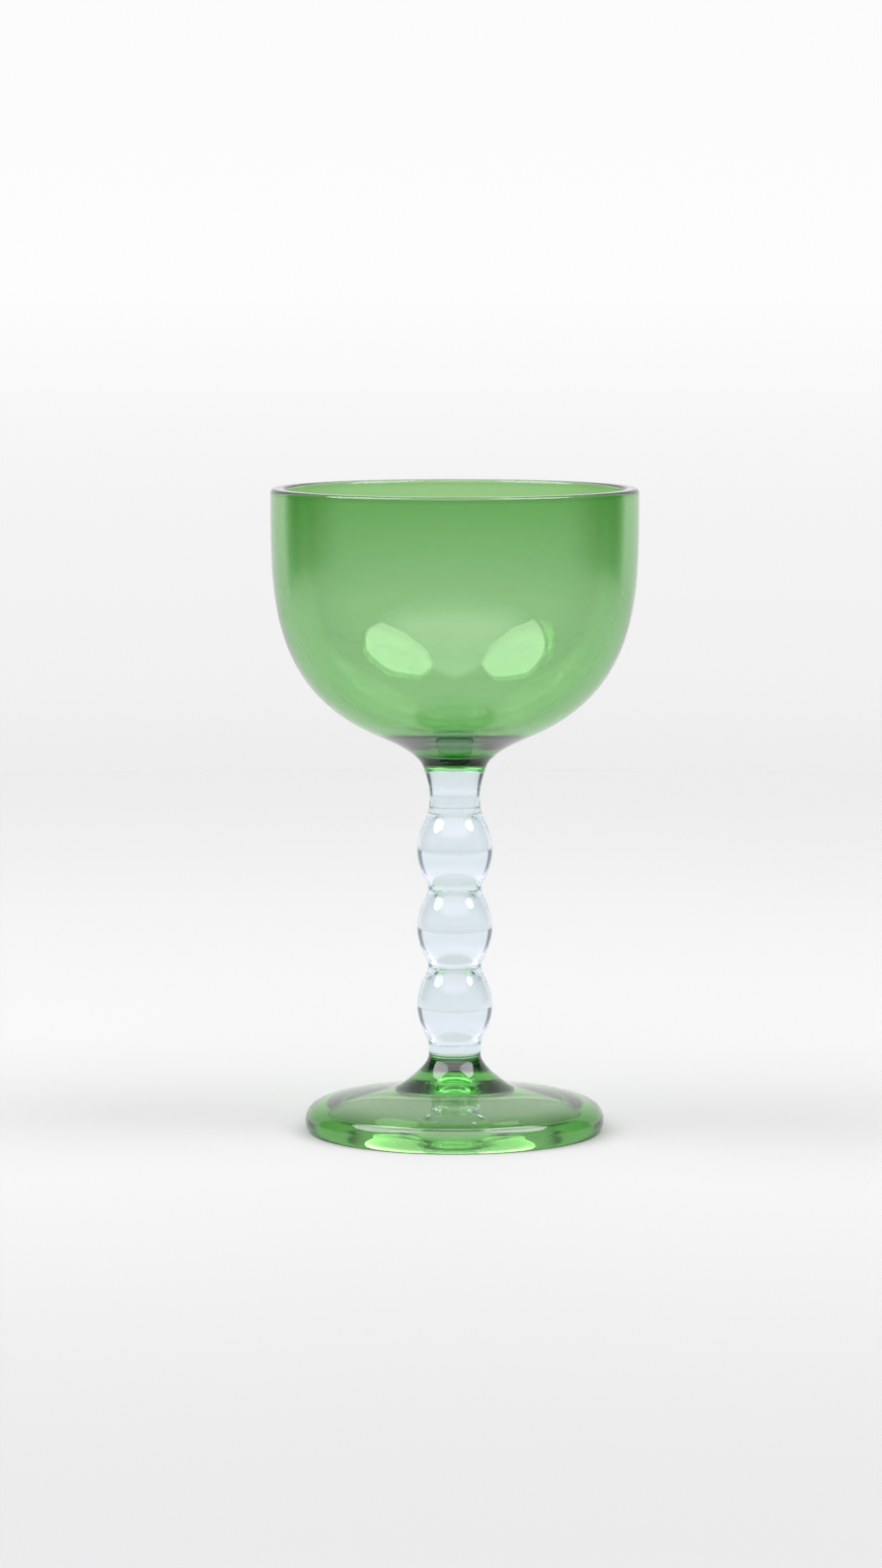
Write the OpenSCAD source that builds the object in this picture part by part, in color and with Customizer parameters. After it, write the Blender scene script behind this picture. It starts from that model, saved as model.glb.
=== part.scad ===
// Beaded-stem wine glass: a blown bowl, a solid stem of three beads and a blown foot.
// Every piece is turned about the Z axis. The origin is the centre of the resting ring, +Z is up,
// and each piece stands on the one below it, so the whole height is the sum of the pieces' heights.

/* [Bowl] */
// Outside diameter at the rim
rim_d = 88; // [73:0.1:106]
// Height of the bowl from its weld to the rim
bowl_h = 64; // [53:1:78]
// Thickness of the bowl's wall at the rim
bowl_wall = 3.3; // [1.5:0.1:4.5]
// Radius of the lip's two melted corners
lip_round = 0.9; // [0.3:0.1:1.6]
// Height of the cavity's floor above the bowl's weld
cavity_floor = 4.6; // [3:0.1:8]
// Height above the weld at which the outer curve would close by itself
curve_close = 1; // [0.5:0.1:2.5]
// Height above the weld at which the outline leaves the curve for the tail
tail_start = 6; // [4.5:0.1:9]
// How late the side turns inwards: a higher number keeps it upright for longer
side_fullness = 3.6; // [2.5:0.1:5]
// How round the underside is: 2 is an ellipse
base_roundness = 1.87; // [1.5:0.01:2.5]

/* [Button under the bowl] */
// Height of the solid button
button_h = 2.7; // [2:0.1:4]
// Diameter of the button where it meets the bowl
button_d = 19.6; // [17:0.1:24]

/* [Stem collar] */
// Height of the collar between the button and the top bead
collar_h = 11; // [8:0.1:14]
// Diameter of the collar where it meets the button
collar_d = 15.3; // [12.7:0.1:18.4]
// Diameter of the collar at its waist
collar_waist_d = 12; // [10:0.1:13.5]
// Height of the waist above the top bead
collar_waist_h = 3.6; // [2:0.1:5.5]

/* [Beads] */
// Distance from one bead's centre to the next
bead_pitch = 18.8; // [15.5:0.1:23]
// Distance from an end bead's centre to the end of the beads
bead_end = 9.2; // [7.5:0.1:11]
// Diameter of each ball before it melts into the rod
ball_d = 16.9; // [14:0.1:21]
// Height of each ball before it melts into the rod
ball_h = 18.6; // [15.5:0.1:23]
// Diameter of the rod through the balls
rod_d = 12.75; // [10.5:0.05:15]
// How sharply a ball stands out of the rod
ball_edge = 4; // [3:0.5:8]

/* [Stem neck] */
// Height of the neck between the bottom bead and the foot
neck_h = 3; // [2:0.1:5]
// Diameter of the neck where it meets the foot
neck_d = 12.5; // [10.5:0.05:15]

/* [Foot] */
// Diameter of the foot
foot_d = 72; // [60:1:87]
// Height of the solid post from the plate up to the neck
post_h = 5.6; // [4.5:0.1:7]
// Diameter of the post where it meets the plate
post_base_d = 21.9; // [18.2:0.1:26.3]
// Height of the plate at the post
plate_h = 12.7; // [11:0.1:15]
// Diameter at which the post's flare turns into the plate's dome
dome_d = 28.8; // [26:0.1:34]
// Height of the dome where it starts
dome_h = 10.5; // [9.5:0.1:10.9]
// Height of the shoulder, where the dome turns down into the edge
shoulder_h = 4.3; // [3.4:0.1:5.5]
// Distance from the foot's widest line in to the shoulder
shoulder_inset = 0.3; // [0.1:0.1:1]
// Height of the foot's widest line
edge_h = 2.8; // [1.8:0.1:3.3]

/* [Hollow under the foot] */
// Distance from the widest line in to the resting ring
edge_inset = 1.7; // [1:0.1:3]
// Width of the flat resting ring
rest_w = 2; // [1:0.1:4]
// Diameter of the crease where the hollow steepens into the post
crease_d = 25; // [20:0.5:28]
// Thickness of the dome over the crease
crease_wall = 1.9; // [1.5:0.1:2.5]
// Thickness left between the top of the hollow and the post
crown_wall = 1; // [0.6:0.1:2]

/* [Hidden] */

// The welds are molten glass joined to molten glass, so the pieces meet with no clearance.
weld_gap = 0;

// Steps in each curved stretch of an outline, and flat steps around the axis
curve_steps = 20;
lip_steps = 10;
$fn = 180;

// Heights of the welds, from the resting ring up
post_z = plate_h;
neck_z = post_z + post_h;
beads_z = neck_z + neck_h;
bead_count = 3;
collar_z = beads_z + 2 * bead_end + (bead_count - 1) * bead_pitch;
button_z = collar_z + collar_h;
bowl_z = button_z + button_h;
rim_z = bowl_z + bowl_h;

// Slopes that neighbouring outlines share, as radius gained for each millimetre upwards
button_lean = 1.22;
post_lean = 1.29;
// Slope of the dome where it starts, and where it reaches the foot's shoulder
dome_fall = 0.19;
edge_fall = 2.74;

clear_glass = "#e4ecf2";
green_glass = "#7dbb74";
deep_green_glass = "#3f8f3c";

function unit(v) = v / norm(v);

// A smooth stretch that leaves a along a_way and reaches b along b_way. The pulls say how far
// it keeps to each way.
function curve(a, a_way, a_pull, b, b_way, b_pull, steps = curve_steps) =
    let (c = a + unit(a_way) * a_pull, d = b - unit(b_way) * b_pull)
    [for (i = [0:steps]) let (t = i / steps, s = 1 - t)
        s * s * s * a + 3 * s * s * t * c + 3 * s * t * t * d + t * t * t * b];

// Outline radius of a bowl of this radius and depth, at a depth d below its rim
function bowl_r(radius, depth, d) =
    radius * pow(1 - pow(min(d / depth, 1), side_fullness), 1 / base_roundness);

// How much that radius grows for each millimetre upwards
function bowl_lean(radius, depth, d, step = 0.01) =
    (bowl_r(radius, depth, d) - bowl_r(radius, depth, d + step)) / step;

// Points down a bowl's side from depth d0 to depth d1, closer together where it turns under
function bowl_side(radius, depth, d0, d1, steps) =
    [for (i = [0:steps]) let (d = d0 + (d1 - d0) * sin(90 * i / steps))
        [bowl_r(radius, depth, d), rim_z - d]];

// Radius of the beaded rod at a height z: each ball melts softly into the rod
function ball_r(z, centre) = ball_d / 2 * sqrt(max(0, 1 - pow((z - centre) / (ball_h / 2), 2)));
function bead_centre(i) = beads_z + bead_end + i * bead_pitch;
function beads_sum(z, i) = i == bead_count ? pow(rod_d / 2, ball_edge)
    : pow(ball_r(z, bead_centre(i)), ball_edge) + beads_sum(z, i + 1);
function beads_r(z) = pow(beads_sum(z, 0), 1 / ball_edge);

// Radius that swells gently from r0 at height z0 to r1 at height z1
function swell(z, z0, r0, z1, r1) = r0 + (r1 - r0) * (1 - cos(90 * (z - z0) / (z1 - z0)));

// Turns an outline of [radius, height] points about the axis
module turned(outline) {
    rotate_extrude() polygon(outline);
}

// One bead of the stem, cut where it meets its neighbours
module bead(z0, z1) {
    steps = 2 * curve_steps;
    low = z0 + weld_gap;
    color(clear_glass, 0.5)
        turned(concat([[0, low]],
                      [for (i = [0:steps]) let (z = low + (z1 - low) * i / steps) [beads_r(z), z]],
                      [[0, z1]]));
}

module bowl() {
    rim_r = rim_d / 2;
    lip_r = min(lip_round, 0.48 * bowl_wall);
    outer_depth = bowl_h - curve_close;
    cavity_depth = bowl_h - cavity_floor;
    tail_depth = bowl_h - tail_start;
    side = bowl_side(rim_r, outer_depth, lip_r, tail_depth, 2 * curve_steps);
    tail = curve([bowl_r(rim_r, outer_depth, tail_depth), rim_z - tail_depth],
                 [-bowl_lean(rim_r, outer_depth, tail_depth), -1], 3.3,
                 [button_d / 2, bowl_z + weld_gap], [-button_lean, -1], 4);
    cavity = bowl_side(rim_r - bowl_wall, cavity_depth, lip_r, cavity_depth, 2 * curve_steps);
    cavity_up = [for (i = [len(cavity) - 1:-1:0]) cavity[i]];
    inner_corner = [for (i = [1:lip_steps]) let (a = 180 - 90 * i / lip_steps)
        [rim_r - bowl_wall + lip_r + lip_r * cos(a), rim_z - lip_r + lip_r * sin(a)]];
    outer_corner = [for (i = [0:lip_steps - 1]) let (a = 90 - 90 * i / lip_steps)
        [rim_r - lip_r + lip_r * cos(a), rim_z - lip_r + lip_r * sin(a)]];
    color(green_glass, 0.6)
        turned(concat([for (p = side) p], [for (i = [1:len(tail) - 1]) tail[i]],
                      [[0, bowl_z + weld_gap]], cavity_up, inner_corner, outer_corner));
}

module bowl_button() {
    color(deep_green_glass, 0.8)
        turned(concat([[0, button_z + weld_gap]], [[0, bowl_z]],
                      curve([button_d / 2, bowl_z], [-button_lean, -1], 1.3,
                            [collar_d / 2, button_z + weld_gap], [-0.35, -1], 1)));
}

module stem_collar() {
    waist_z = collar_z + collar_waist_h;
    waist_r = collar_waist_d / 2;
    low = collar_z + weld_gap;
    lower = [for (i = [0:curve_steps - 1]) let (z = low + (waist_z - low) * i / curve_steps)
        [swell(z, waist_z, waist_r, collar_z, beads_r(collar_z)), z]];
    upper = [for (i = [0:curve_steps]) let (z = waist_z + (button_z - waist_z) * i / curve_steps)
        [swell(z, waist_z, waist_r, button_z, collar_d / 2), z]];
    color(clear_glass, 0.5) turned(concat([[0, low]], lower, upper, [[0, button_z]]));
}

// The beads meet halfway between their centres
function bead_joint(i) = i == 0 ? beads_z : i == bead_count ? collar_z
    : (bead_centre(i - 1) + bead_centre(i)) / 2;

module bead_bottom() { bead(bead_joint(0), bead_joint(1)); }
module bead_middle() { bead(bead_joint(1), bead_joint(2)); }
module bead_top() { bead(bead_joint(2), bead_joint(3)); }

module stem_neck() {
    low = neck_z + weld_gap;
    side = [for (i = [0:curve_steps]) let (z = low + (beads_z - low) * i / curve_steps)
        [swell(z, neck_z, neck_d / 2, beads_z, beads_r(beads_z)), z]];
    color(clear_glass, 0.5) turned(concat([[0, low]], side, [[0, beads_z]]));
}

module foot_post() {
    low = post_z + weld_gap;
    color(deep_green_glass, 0.8)
        turned(concat([[0, low], [0, neck_z]],
                      curve([neck_d / 2, neck_z], [0.12, -1], 1.7,
                            [post_base_d / 2, low], [post_lean, -1], 2.7)));
}

module foot_plate() {
    edge_r = foot_d / 2;
    rest_r = edge_r - edge_inset;
    hollow_r = rest_r - rest_w;
    crease = [crease_d / 2, dome_h - crease_wall];
    flare = curve([post_base_d / 2, plate_h], [post_lean, -1], 2,
                  [dome_d / 2, dome_h], [1, -dome_fall], 0.5);
    dome = curve([dome_d / 2, dome_h], [1, -dome_fall], 14.9,
                 [edge_r - shoulder_inset, shoulder_h], [1, -edge_fall], 4);
    shoulder = curve([edge_r - shoulder_inset, shoulder_h], [1, -edge_fall], 0.6,
                     [edge_r, edge_h], [0, -1], 0.6);
    edge = [for (i = [1:curve_steps]) let (a = 90 * i / curve_steps)
        [rest_r + edge_inset * cos(a), edge_h - edge_h * sin(a)]];
    hollow = curve([hollow_r, 0], [-0.25, 1], 4.2, crease, [-1, 0.16], 13);
    crown = curve(crease, [-1, 0.35], 4, [0, plate_h - crown_wall], [-1, 0], 4);
    color(green_glass, 0.6)
        turned(concat([[0, plate_h]], flare, [for (i = [1:len(dome) - 1]) dome[i]],
                      [for (i = [1:len(shoulder) - 1]) shoulder[i]], edge,
                      hollow, [for (i = [1:len(crown) - 1]) crown[i]]));
}

bowl();
bowl_button();
stem_collar();
bead_top();
bead_middle();
bead_bottom();
stem_neck();
foot_post();
foot_plate();
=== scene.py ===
import math

import bmesh
import bpy
from mathutils import Matrix, Vector


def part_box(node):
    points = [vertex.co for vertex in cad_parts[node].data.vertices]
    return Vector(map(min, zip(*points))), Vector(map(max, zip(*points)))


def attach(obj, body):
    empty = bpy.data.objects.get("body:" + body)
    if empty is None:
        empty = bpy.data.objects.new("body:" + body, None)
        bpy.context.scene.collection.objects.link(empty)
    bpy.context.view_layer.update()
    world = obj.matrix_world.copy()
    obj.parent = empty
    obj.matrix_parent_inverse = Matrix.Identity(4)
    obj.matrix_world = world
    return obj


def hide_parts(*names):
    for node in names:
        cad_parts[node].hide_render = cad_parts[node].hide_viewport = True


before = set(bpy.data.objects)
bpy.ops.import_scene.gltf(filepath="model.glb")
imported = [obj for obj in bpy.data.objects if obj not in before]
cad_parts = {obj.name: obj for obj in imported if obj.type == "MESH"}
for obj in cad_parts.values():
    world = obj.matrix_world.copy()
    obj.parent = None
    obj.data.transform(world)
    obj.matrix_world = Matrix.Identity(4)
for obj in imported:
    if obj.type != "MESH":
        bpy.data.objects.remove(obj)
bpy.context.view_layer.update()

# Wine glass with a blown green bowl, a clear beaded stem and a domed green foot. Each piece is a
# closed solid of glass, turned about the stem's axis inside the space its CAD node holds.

MM = 0.001


# ---------------------------------------------------------------------------
# Sizes
# ---------------------------------------------------------------------------

# The welds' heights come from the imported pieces
def low(node):
    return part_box(node)[0].z


def high(node):
    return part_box(node)[1].z


rim_z = high("bowl")
bowl_z = low("bowl")
button_z = low("bowl_button")
collar_z = low("stem_collar")
upper_joint_z = low("bead_top")
lower_joint_z = low("bead_middle")
beads_z = low("bead_bottom")
neck_z = low("stem_neck")
post_z = low("foot_post")
rest_z = low("foot_plate")

# The sizes from here on repeat the CAD source's own, as the boxes don't show what lies inside a
# piece, and half a box's width is a hair under the true radius
rim_r = 44 * MM
foot_r = 36 * MM
button_r = 9.8 * MM
collar_r = 7.65 * MM
waist_r = 6 * MM
waist_z = collar_z + 3.6 * MM
rod_r = 6.375 * MM
ball_r = 8.45 * MM
ball_half = 9.3 * MM
ball_edge = 4
bead_end = 9.2 * MM
bead_pitch = 18.8 * MM
bead_count = 3
neck_r = 6.25 * MM
post_base_r = 10.95 * MM

bowl_wall = 3.3 * MM
lip_round = 0.9 * MM
bowl_h = rim_z - bowl_z
outer_depth = bowl_h - 1 * MM
cavity_depth = bowl_h - 4.6 * MM
tail_depth = bowl_h - 6 * MM
side_fullness = 3.6
base_roundness = 1.87

dome_r = 14.4 * MM
dome_z = 10.5 * MM
shoulder_z = 4.3 * MM
shoulder_r = foot_r - 0.3 * MM
edge_z = 2.8 * MM
rest_r = foot_r - 1.7 * MM
hollow_r = rest_r - 2 * MM
crease_r = 12.5 * MM
crease_z = dome_z - 1.9 * MM
crown_z = post_z - 1 * MM

# Slopes that neighbouring outlines share: the button narrows and the post widens downwards, by
# this much radius for each metre
button_lean = 1.22
post_lean = 1.29
# Height lost for each metre outwards, where the dome starts and where it reaches the shoulder
dome_fall = 0.19
edge_fall = 2.74

# Each piece stops this far short of its neighbour, so that no two faces lie in one plane
weld_gap = 0.01 * MM
# Flat steps around the axis
around = 256


# ---------------------------------------------------------------------------
# Outlines
# ---------------------------------------------------------------------------

def curve(a, a_way, a_pull, b, b_way, b_pull, steps):
    """Points along a smooth stretch that leaves a along a_way and reaches b along b_way."""
    a = Vector(a)
    b = Vector(b)
    c = a + Vector(a_way).normalized() * a_pull
    d = b - Vector(b_way).normalized() * b_pull
    points = []
    for i in range(steps + 1):
        t = i / steps
        s = 1 - t
        points.append(s ** 3 * a + 3 * s * s * t * c + 3 * s * t * t * d + t ** 3 * b)
    return points


def bowl_radius(rim, depth, d):
    """Radius of a bowl of this rim radius and depth, at a depth d below the rim."""
    share = min(d / depth, 1)
    return rim * (1 - share ** side_fullness) ** (1 / base_roundness)


def bowl_lean(rim, depth, d):
    """Radius gained for each metre upwards."""
    step = 0.01 * MM
    return (bowl_radius(rim, depth, d) - bowl_radius(rim, depth, d + step)) / step


def bowl_side(rim, depth, start, end, steps):
    """Points down a bowl's side, closer together where it turns under."""
    points = []
    for i in range(steps + 1):
        d = start + (end - start) * math.sin(math.pi / 2 * i / steps)
        points.append(Vector((bowl_radius(rim, depth, d), rim_z - d)))
    return points


def bead_radius(z):
    """Radius of the beaded rod at a height z: each ball melts softly into the rod."""
    total = rod_r ** ball_edge
    for i in range(bead_count):
        centre = beads_z + bead_end + i * bead_pitch
        ball = ball_r * math.sqrt(max(0, 1 - ((z - centre) / ball_half) ** 2))
        total += ball ** ball_edge
    return total ** (1 / ball_edge)


def swell(z, z0, r0, z1, r1):
    """Radius that swells gently from r0 at z0 to r1 at z1."""
    return r0 + (r1 - r0) * (1 - math.cos(math.pi / 2 * (z - z0) / (z1 - z0)))


def rise(z0, z1, steps, radius_at):
    """Points up a side whose radius is a function of height."""
    heights = [z0 + (z1 - z0) * i / steps for i in range(steps + 1)]
    return [Vector((radius_at(z), z)) for z in heights]


def bead_outline(z0, z1):
    bottom = z0 + weld_gap
    return [Vector((0, bottom))] + rise(bottom, z1, 72, bead_radius) + [Vector((0, z1))]


def bowl_outline():
    """From the weld up the outside, over the lip and down the inside."""
    lip = lip_round
    side = bowl_side(rim_r, outer_depth, lip, tail_depth, 90)
    tail = curve(side[-1], (-bowl_lean(rim_r, outer_depth, tail_depth), -1), 3.3 * MM,
                 (button_r, bowl_z + weld_gap), (-button_lean, -1), 4 * MM, 28)
    cavity = bowl_side(rim_r - bowl_wall, cavity_depth, lip, cavity_depth, 96)
    over = []
    for i in range(1, 25):
        turn = math.pi * i / 24
        centre = rim_r - lip if i < 13 else rim_r - bowl_wall + lip
        over.append(Vector((centre + lip * math.cos(turn), rim_z - lip + lip * math.sin(turn))))
    up = list(reversed(side + tail[1:]))
    return [Vector((0, bowl_z + weld_gap))] + up + over + cavity[1:]


def button_outline():
    side = curve((button_r, bowl_z), (-button_lean, -1), 1.3 * MM,
                 (collar_r, button_z + weld_gap), (-0.35, -1), 1 * MM, 24)
    return [Vector((0, button_z + weld_gap))] + list(reversed(side)) + [Vector((0, bowl_z))]


def collar_outline():
    bottom = collar_z + weld_gap

    def under(z):
        return swell(z, waist_z, waist_r, collar_z, bead_radius(collar_z))

    def over(z):
        return swell(z, waist_z, waist_r, button_z, collar_r)

    side = rise(bottom, waist_z, 20, under)[:-1] + rise(waist_z, button_z, 40, over)
    return [Vector((0, bottom))] + side + [Vector((0, button_z))]


def neck_outline():
    bottom = neck_z + weld_gap

    def side(z):
        return swell(z, neck_z, neck_r, beads_z, bead_radius(beads_z))

    return [Vector((0, bottom))] + rise(bottom, beads_z, 20, side) + [Vector((0, beads_z))]


def post_outline():
    side = curve((neck_r, neck_z), (0.12, -1), 1.7 * MM,
                 (post_base_r, post_z + weld_gap), (post_lean, -1), 2.7 * MM, 40)
    return [Vector((0, post_z + weld_gap))] + list(reversed(side)) + [Vector((0, neck_z))]


def plate_outline():
    """From the hollow's crown down the inside, over the resting ring and up over the dome."""
    crown = curve((crease_r, crease_z), (-1, 0.35), 4 * MM, (0, crown_z), (-1, 0), 4 * MM, 28)
    hollow = curve((hollow_r, rest_z), (-0.25, 1), 4.2 * MM,
                   (crease_r, crease_z), (-1, 0.16), 13 * MM, 56)
    edge = []
    for i in range(25):
        turn = math.pi / 2 * i / 24
        edge.append(Vector((rest_r + (foot_r - rest_r) * math.sin(turn),
                            edge_z - (edge_z - rest_z) * math.cos(turn))))
    flare = curve((post_base_r, post_z), (post_lean, -1), 2 * MM,
                  (dome_r, dome_z), (1, -dome_fall), 0.5 * MM, 20)
    dome = curve((dome_r, dome_z), (1, -dome_fall), 14.9 * MM,
                 (shoulder_r, shoulder_z), (1, -edge_fall), 4 * MM, 56)
    shoulder = curve((shoulder_r, shoulder_z), (1, -edge_fall), 0.6 * MM,
                     (foot_r, edge_z), (0, -1), 0.6 * MM, 12)
    inside = list(reversed(hollow + crown[1:]))
    outside = list(reversed(flare + dome[1:] + shoulder[1:]))
    return inside + edge + outside[1:] + [Vector((0, post_z))]


# ---------------------------------------------------------------------------
# Turned pieces
# ---------------------------------------------------------------------------

# Faces that meet at more than this angle keep a sharp edge between them
sharp_angle = math.radians(32)


def turned(name, outline, node, material, welds, tint=None):
    """A closed solid turned from an outline of (radius, height) points, axis to axis.
    welds are the heights of its flat ends, and tint gives each point's share of added colour."""
    bm = bmesh.new()
    weld_layer = bm.faces.layers.float.new("weld")
    tint_layer = bm.verts.layers.float.new("tint")
    rings = []
    for point in outline:
        if point.x < 1e-7:
            rings.append([bm.verts.new((0, 0, point.y))])
            continue
        ring = []
        for k in range(around):
            turn = 2 * math.pi * k / around
            ring.append(bm.verts.new((point.x * math.cos(turn), point.x * math.sin(turn), point.y)))
        rings.append(ring)
    for point, ring in zip(outline, rings):
        for vert in ring:
            vert[tint_layer] = tint(point) if tint else 0
    for lower, upper in zip(rings, rings[1:]):
        for k in range(around):
            n = (k + 1) % around
            corners = [lower[k % len(lower)], lower[n % len(lower)],
                       upper[n % len(upper)], upper[k % len(upper)]]
            face = bm.faces.new(list(dict.fromkeys(corners)))
            face.smooth = True
    for face in bm.faces:
        heights = [v.co.z for v in face.verts]
        flat = max(heights) - min(heights) < 1e-8
        if flat and any(abs(heights[0] - z) < 0.02 * MM for z in welds):
            face[weld_layer] = 1
    for edge in bm.edges:
        if len(edge.link_faces) == 2 and edge.calc_face_angle() > sharp_angle:
            edge.smooth = False
    bmesh.ops.recalc_face_normals(bm, faces=bm.faces)
    mesh = bpy.data.meshes.new(name)
    bm.to_mesh(mesh)
    bm.free()
    piece = bpy.data.objects.new(name, mesh)
    bpy.context.scene.collection.objects.link(piece)
    mesh.materials.append(material)
    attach(piece, "root")
    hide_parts(node)
    return piece


# ---------------------------------------------------------------------------
# Shader maths
# ---------------------------------------------------------------------------

class Value:
    """A socket that holds a number, on which sums are written as Python."""

    def __init__(self, recipe, socket):
        self.recipe = recipe
        self.socket = socket

    def sum(self, operation, first, second):
        return self.recipe.node("ShaderNodeMath", {"operation": operation}, {0: first, 1: second})

    def __add__(self, other):
        return self.sum("ADD", self, other)

    def __radd__(self, other):
        return self.sum("ADD", other, self)

    def __sub__(self, other):
        return self.sum("SUBTRACT", self, other)

    def __rsub__(self, other):
        return self.sum("SUBTRACT", other, self)

    def __mul__(self, other):
        return self.sum("MULTIPLY", self, other)

    def __rmul__(self, other):
        return self.sum("MULTIPLY", other, self)

    def __truediv__(self, other):
        return self.sum("DIVIDE", self, other)

    def __pow__(self, other):
        return self.sum("POWER", self, other)


class Recipe:
    """The nodes of one material or of the world."""

    def __init__(self, owner):
        owner.use_nodes = True
        self.tree = owner.node_tree
        self.tree.nodes.clear()

    def node(self, kind, settings=None, values=None, out=0):
        """Adds a node, sets it up, fills or links its sockets, and returns one of its outputs."""
        node = self.tree.nodes.new(kind)
        for name, setting in (settings or {}).items():
            if name == "stops":
                ramp = node.color_ramp
                while len(ramp.elements) < len(setting):
                    ramp.elements.new(0.5)
                for element, (place, colour) in zip(ramp.elements, setting):
                    element.position = place
                    element.color = colour
            else:
                setattr(node, name, setting)
        for name, value in (values or {}).items():
            if isinstance(value, Value):
                self.tree.links.new(value.socket, node.inputs[name])
            else:
                node.inputs[name].default_value = value
        return Value(self, node.outputs[out])

    def place(self):
        """Position in the glass's own frame, in metres."""
        return self.node("ShaderNodeTexCoord", out="Object")

    def parts(self, vector):
        """The x, y and z of a vector."""
        split = self.node("ShaderNodeSeparateXYZ", values={0: vector})
        return [Value(self, output) for output in split.socket.node.outputs]

    def vector(self, x, y, z):
        return self.node("ShaderNodeCombineXYZ", values={0: x, 1: y, 2: z})

    def mixed(self, share, first, second):
        """One colour turning into another."""
        sockets = {"Factor": share, 6: first, 7: second}
        return self.node("ShaderNodeMix", {"data_type": "RGBA"}, sockets, out=2)

    def noise(self, vector, scale, detail=2.0):
        values = {"Vector": vector, "Scale": scale, "Detail": detail}
        return self.node("ShaderNodeTexNoise", values=values)

    def ramp(self, value, start, end, low_end=0.0, high_end=1.0):
        """value taken from start..end to low_end..high_end, smoothly and held at both ends."""
        values = {"Value": value, "From Min": start, "From Max": end,
                  "To Min": low_end, "To Max": high_end}
        return self.node("ShaderNodeMapRange", {"interpolation_type": "SMOOTHSTEP"}, values)


glass_ior = 1.5
waviness = 0.6 * MM


def glass(name, colour, absorbed=None, density=0, rim_tint=None):
    """Fire-polished glass that lets light straight through at its welds. colour tints what
    crosses its surface, absorbed and density what goes through its depth. rim_tint takes the
    place of colour where the mesh's tint is 1."""
    material = bpy.data.materials.new(name)
    recipe = Recipe(material)
    x, y, z = recipe.parts(recipe.place())
    # Turning leaves faint rings around the axis, and drawing out leaves faint upright streaks
    rings = recipe.noise(recipe.vector(x * 12, y * 12, z * 260), 1.0, 1.0)
    streaks = recipe.noise(recipe.vector(x * 170, y * 170, z * 6), 1.0, 1.0)
    height = rings * 0.6 + streaks * 0.4
    values = {"Strength": 0.03, "Distance": waviness, "Height": height}
    bump = recipe.node("ShaderNodeBump", values=values)
    smudge = recipe.noise(recipe.vector(x * 60, y * 60, z * 45), 1.0, 4.0)
    values = {"IOR": glass_ior, "Transmission Weight": 1.0, "Roughness": 0.006 * smudge,
              "Normal": bump}
    cloud = recipe.noise(recipe.vector(x * 25, y * 25, z * 25), 1.0, 2.0)
    paler = [c + (1 - c) * 0.06 for c in colour] + [1]
    base = recipe.mixed(cloud, list(colour) + [1], paler)
    if rim_tint:
        share = recipe.node("ShaderNodeAttribute", {"attribute_name": "tint"}, out="Fac")
        base = recipe.mixed(share, base, list(rim_tint) + [1])
    values["Base Color"] = base
    surface = recipe.node("ShaderNodeBsdfPrincipled", values=values)
    weld = recipe.node("ShaderNodeAttribute", {"attribute_name": "weld"}, out="Fac")
    clear = recipe.node("ShaderNodeBsdfTransparent")
    surface = recipe.node("ShaderNodeMixShader", values={0: weld, 1: surface, 2: clear})
    values = {"Surface": surface}
    if density:
        volume = {"Color": list(absorbed) + [1], "Density": density}
        values["Volume"] = recipe.node("ShaderNodeVolumeAbsorption", values=volume)
    output = recipe.tree.nodes.new("ShaderNodeOutputMaterial")
    for socket, value in values.items():
        recipe.tree.links.new(value.socket, output.inputs[socket])
    return material


def depth_colour(left, depth):
    """The absorption colour and density of glass that leaves this colour over this depth."""
    taken = [-math.log(c) / depth for c in left]
    density = max(taken) * 1.02
    return [1 - t / density for t in taken], density


# ---------------------------------------------------------------------------
# Materials
# ---------------------------------------------------------------------------

# What is left of white light after one thickness of the bowl's wall
bowl_green = depth_colour((0.58, 0.80, 0.53), bowl_wall)
foot_green = depth_colour((0.56, 0.79, 0.50), bowl_wall)
deep_green = depth_colour((0.68, 0.88, 0.66), bowl_wall)

bowl_glass = glass("green_bowl_glass", (1, 1, 1), *bowl_green, rim_tint=(0.33, 0.60, 0.20))
foot_glass = glass("green_foot_glass", (1, 1, 1), *foot_green)
deep_glass = glass("deep_green_glass", (1, 1, 1), *deep_green)
clear_glass = glass("clear_glass", (0.75, 0.84, 0.89))


# Share of the added tint over the lip, and how far down the inside the tint reaches
lip_share = 0.8
tint_depth = 29 * MM


def rim_share(point):
    """Share of the added tint: even over the lip, fading down the inside, none on the outside."""
    if point.y > rim_z - 1.2 * lip_round:
        return lip_share
    if point.x > bowl_radius(rim_r, outer_depth, min(rim_z - point.y, outer_depth)) - bowl_wall * 0.4:
        return 0
    fade = (point.y - (rim_z - tint_depth)) / tint_depth
    return min(max(fade, 0), 1) ** 0.75


# ---------------------------------------------------------------------------
# Pieces
# ---------------------------------------------------------------------------

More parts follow.
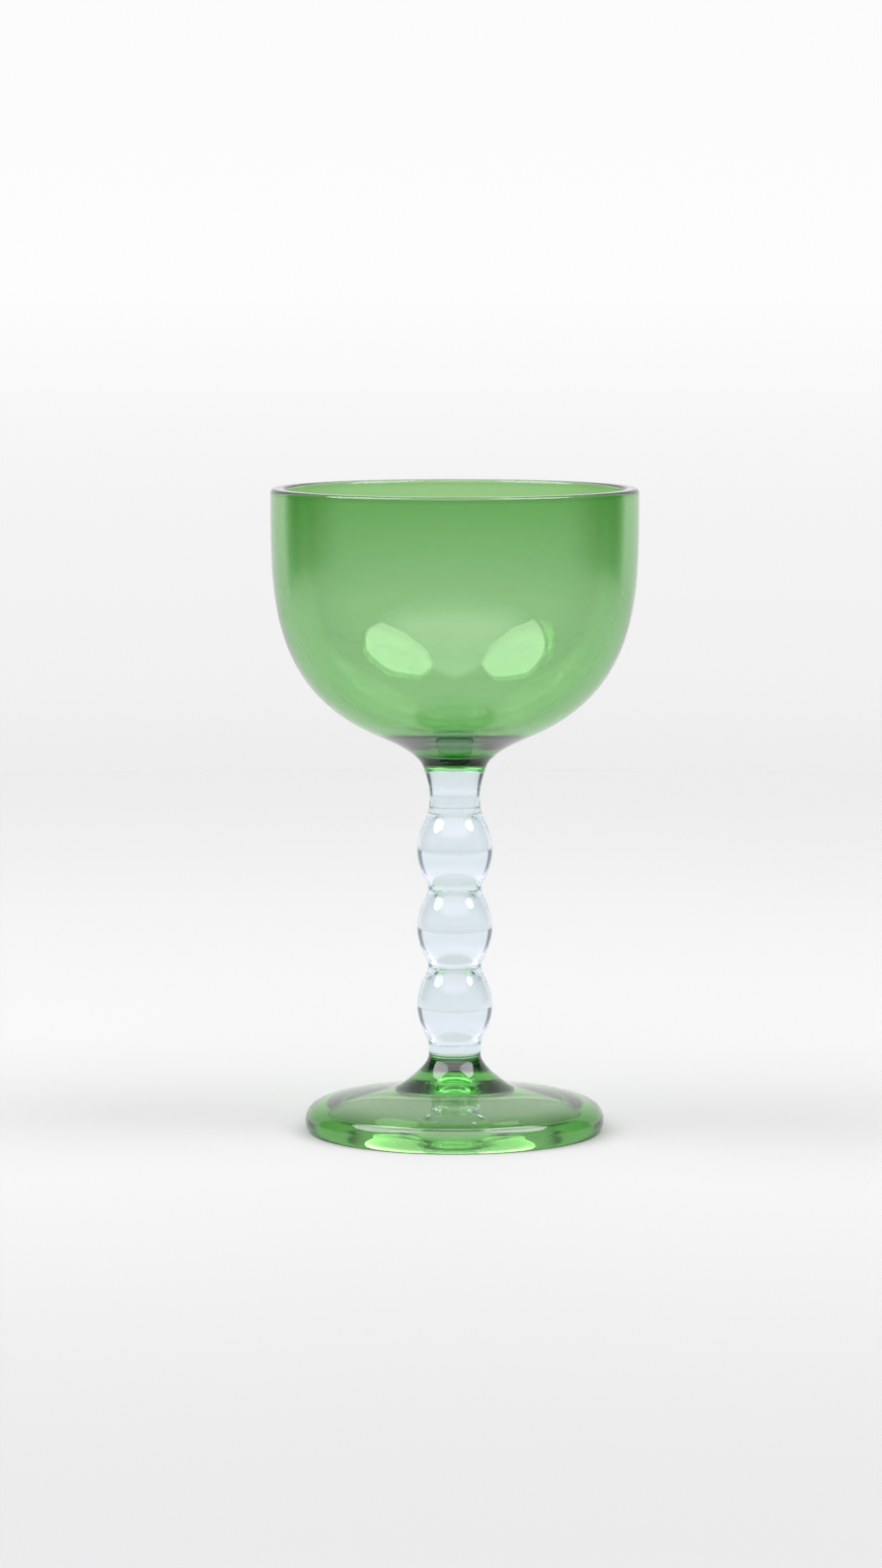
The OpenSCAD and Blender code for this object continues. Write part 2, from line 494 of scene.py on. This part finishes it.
turned("bowl_glass", bowl_outline(), "bowl", bowl_glass,
       [bowl_z], rim_share)
turned("button_glass", button_outline(), "bowl_button", deep_glass,
       [bowl_z, button_z])
turned("collar_glass", collar_outline(), "stem_collar", clear_glass,
       [button_z, collar_z])
turned("top_bead", bead_outline(upper_joint_z, collar_z), "bead_top", clear_glass,
       [collar_z, upper_joint_z])
turned("middle_bead", bead_outline(lower_joint_z, upper_joint_z), "bead_middle",
       clear_glass, [upper_joint_z, lower_joint_z])
turned("bottom_bead", bead_outline(beads_z, lower_joint_z), "bead_bottom",
       clear_glass, [lower_joint_z, beads_z])
turned("neck_glass", neck_outline(), "stem_neck", clear_glass,
       [beads_z, neck_z])
turned("post_glass", post_outline(), "foot_post", deep_glass,
       [neck_z, post_z])
turned("foot_glass", plate_outline(), "foot_plate", foot_glass,
       [post_z])


# ---------------------------------------------------------------------------
# Stage, light and camera
# ---------------------------------------------------------------------------

def floor():
    """A pale disc that fades out into the surroundings. Its tones lean a little away from the
    colour of the softboxes, so that it looks neutral under them. Towards the camera it turns darker,
    as painted shade where the studio light falls off."""
    reach = 1.6
    bm = bmesh.new()
    bmesh.ops.create_circle(bm, cap_ends=True, radius=reach, segments=96)
    mesh = bpy.data.meshes.new("floor")
    bm.to_mesh(mesh)
    bm.free()
    disc = bpy.data.objects.new("floor", mesh)
    disc.location.z = rest_z - 0.02 * MM
    bpy.context.scene.collection.objects.link(disc)
    material = bpy.data.materials.new("pale_floor")
    recipe = Recipe(material)
    place = recipe.place()
    x, y, z = recipe.parts(place)
    out = (x * x + y * y) ** 0.5
    grain = recipe.noise(place, 3.0, 2.0)
    tone = recipe.mixed(grain, (0.333, 0.372, 0.325, 1), (0.347, 0.387, 0.339, 1))
    # Painted shade: the floor's colour turns darker towards the camera, standing in for the studio
    # light falling off there
    tone = recipe.mixed(recipe.ramp(y, 0.15, -0.45), tone, (0.27, 0.302, 0.264, 1))
    board = recipe.node("ShaderNodeBsdfPrincipled", values={"Base Color": tone, "Roughness": 0.7})
    gone = recipe.node("ShaderNodeBsdfTransparent")
    fade = recipe.ramp(out, 0.35, 1.3)
    surface = recipe.node("ShaderNodeMixShader", values={0: fade, 1: board, 2: gone})
    output = recipe.tree.nodes.new("ShaderNodeOutputMaterial")
    recipe.tree.links.new(surface.socket, output.inputs["Surface"])
    mesh.materials.append(material)


cool_room = (0.88, 0.94, 1.02, 1)
side_wall = (0.12, 0.14, 0.17, 1)
bright_ceiling = (3.8, 3.0, 3.9, 1)
softbox_colour = (1.02, 0.93, 1.04, 1)


def surroundings():
    """A pale studio, with a brighter ceiling behind the camera and a dark wall at each side."""
    world = bpy.data.worlds.new("studio")
    bpy.context.scene.world = world
    recipe = Recipe(world)
    way = recipe.node("ShaderNodeTexCoord", out="Generated")
    x, y, z = recipe.parts(way)
    tall = recipe.node("ShaderNodeValToRGB", {"stops": [
        (0.0, (0.86, 0.86, 0.86, 1)),
        (0.44, (0.86, 0.86, 0.86, 1)),
        (0.474, (0.90, 0.90, 0.90, 1)),
        (0.492, (0.98, 0.98, 0.98, 1)),
        (1.0, (0.75, 0.75, 0.75, 1))]}, {0: z * 0.5 + 0.5})
    flat = (x * x + y * y) ** 0.5 + 0.0001
    back = y / flat
    front = recipe.ramp(back, 0.2, -0.3)
    cool = recipe.mixed(front, tall, cool_room)
    past_side = recipe.ramp(back, -0.3, 0.3) - recipe.ramp(back, 0.56, 0.68)
    above = recipe.ramp(z, -0.2, -0.1) - recipe.ramp(z, 0.6, 0.75)
    walls = recipe.mixed(past_side * above, cool, side_wall)
    ceiling = recipe.ramp(z, 0.35, 0.6) * recipe.ramp(back, -0.4, -0.8)
    colour = recipe.mixed(ceiling, walls, bright_ceiling)
    light = recipe.node("ShaderNodeBackground", values={0: colour, 1: 1.0})
    output = recipe.tree.nodes.new("ShaderNodeOutputWorld")
    recipe.tree.links.new(light.socket, output.inputs["Surface"])


softbox_distance = 2.6


def softbox(name, azimuth, elevation, wide, tall, radiance):
    """An eight-sided softbox aimed at the bowl. Azimuth 0 is behind the camera."""
    bm = bmesh.new()
    bmesh.ops.create_circle(bm, cap_ends=True, radius=0.5, segments=8)
    turned_by = Matrix.Rotation(math.pi / 8, 4, "Z")
    bmesh.ops.transform(bm, matrix=Matrix.Diagonal((wide, tall, 1, 1)) @ turned_by, verts=bm.verts)
    mesh = bpy.data.meshes.new(name)
    bm.to_mesh(mesh)
    bm.free()
    box = bpy.data.objects.new(name, mesh)
    a = math.radians(azimuth)
    e = math.radians(elevation)
    way = Vector((math.sin(a) * math.cos(e), -math.cos(a) * math.cos(e), math.sin(e)))
    box.location = Vector((0, 0, rim_z * 0.75)) + way * softbox_distance
    box.rotation_mode = "QUATERNION"
    box.rotation_quaternion = way.to_track_quat("Z", "Y")
    box.visible_camera = False
    bpy.context.scene.collection.objects.link(box)
    material = bpy.data.materials.new(name)
    recipe = Recipe(material)
    glow = recipe.node("ShaderNodeEmission", values={0: softbox_colour, 1: radiance})
    output = recipe.tree.nodes.new("ShaderNodeOutputMaterial")
    recipe.tree.links.new(glow.socket, output.inputs["Surface"])
    mesh.materials.append(material)


camera_place = (-3.3 * MM, -1.347, 0.2234)
camera_dip = math.radians(5.91)


def camera():
    """A long lens in front of the glass and above its rim, looking gently down."""
    data = bpy.data.cameras.new("camera")
    data.sensor_width = 36
    data.lens = 129.6
    eye = bpy.data.objects.new("camera", data)
    eye.location = camera_place
    eye.rotation_euler = (math.pi / 2 - camera_dip, 0, 0)
    bpy.context.scene.collection.objects.link(eye)
    bpy.context.scene.camera = eye


floor()
surroundings()
softbox("left_softbox", -78, 50, 2.25, 2.4, 7.5)
softbox("right_softbox", 71, 53, 1.9, 2.3, 8)
camera()

scene = bpy.context.scene
scene.view_settings.view_transform = "Standard"
# Light crosses many surfaces of glass, and is caught inside the walls and the stem
scene.cycles.max_bounces = 24
scene.cycles.transmission_bounces = 24
scene.cycles.glossy_bounces = 12
scene.cycles.transparent_max_bounces = 24
scene.cycles.caustics_reflective = True
scene.cycles.caustics_refractive = True
